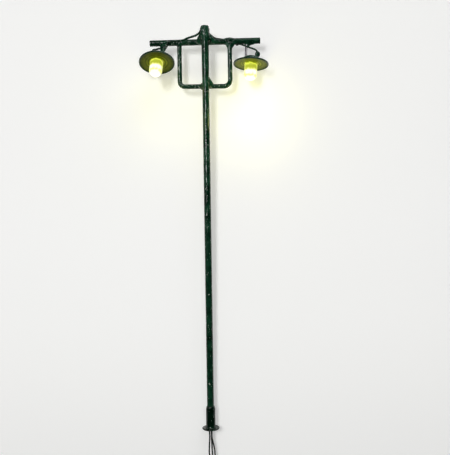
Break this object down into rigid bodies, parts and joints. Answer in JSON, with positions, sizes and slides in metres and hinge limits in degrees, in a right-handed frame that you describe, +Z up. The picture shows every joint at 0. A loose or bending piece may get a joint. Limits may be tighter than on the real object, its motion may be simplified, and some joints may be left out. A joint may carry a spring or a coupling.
{
  "type": "model railway yard lamp",
  "caption": "Slim painted tube mast with a crossbar and soldered loop at its head, hanging round-lens lamps under dished shades, and thin feed wires leaving through the foot.",
  "frame": {"origin": "centre of the flange's underside, on the mast's axis", "axes": "+Z up the mast, +X along the crossbar to the right as seen with the crossbar behind the mast, +Y from the mast towards the crossbar"},
  "size_m": [0.03, 0.0098, 0.1167],
  "materials": {
    "green_paint": "gloss dark green brushed over brass and solder",
    "led_lens": "clear epoxy, lit warm from inside",
    "tinned_lead": "bright tinned steel",
    "phosphor": "yellow silicone over the diode, glowing",
    "wire_enamel": "smooth black insulation",
    "tie_band": "dull black"
  },
  "bodies": {
    "root": {"mast_tube": "green_paint", "base_flange": "green_paint", "base_sleeve": "green_paint", "base_solder": "green_paint", "crossbar": "green_paint", "loop_frame": "green_paint", "lamp_left_shade": "green_paint", "lamp_right_shade": "green_paint", "mast_bar_solder": "green_paint", "loop_foot_solder": "green_paint", "loop_left_solder": "green_paint", "loop_right_solder": "green_paint", "lamp_left_hanger_solder": "green_paint", "lamp_right_hanger_solder": "green_paint", "lamp_left_feed_solder": "green_paint", "lamp_right_feed_solder": "green_paint", "mast_seal": "green_paint", "lamp_left_lens": "led_lens", "lamp_left_cup_lead": "tinned_lead", "lamp_left_feed_lead": "tinned_lead", "lamp_left_phosphor": "phosphor", "lamp_left_wire": "wire_enamel", "lamp_right_lens": "led_lens", "lamp_right_cup_lead": "tinned_lead", "lamp_right_feed_lead": "tinned_lead", "lamp_right_phosphor": "phosphor", "lamp_right_wire": "wire_enamel", "wire_tail_left": "wire_enamel", "wire_tip_left": "tinned_lead", "wire_tail_return": "wire_enamel", "wire_tip_return": "tinned_lead", "wire_tail_right": "wire_enamel", "wire_tip_right": "tinned_lead", "return_wire": "wire_enamel", "return_solder": "tinned_lead", "wire_hank": "wire_enamel", "hank_tie": "tie_band"}
  },
  "joints": []
}
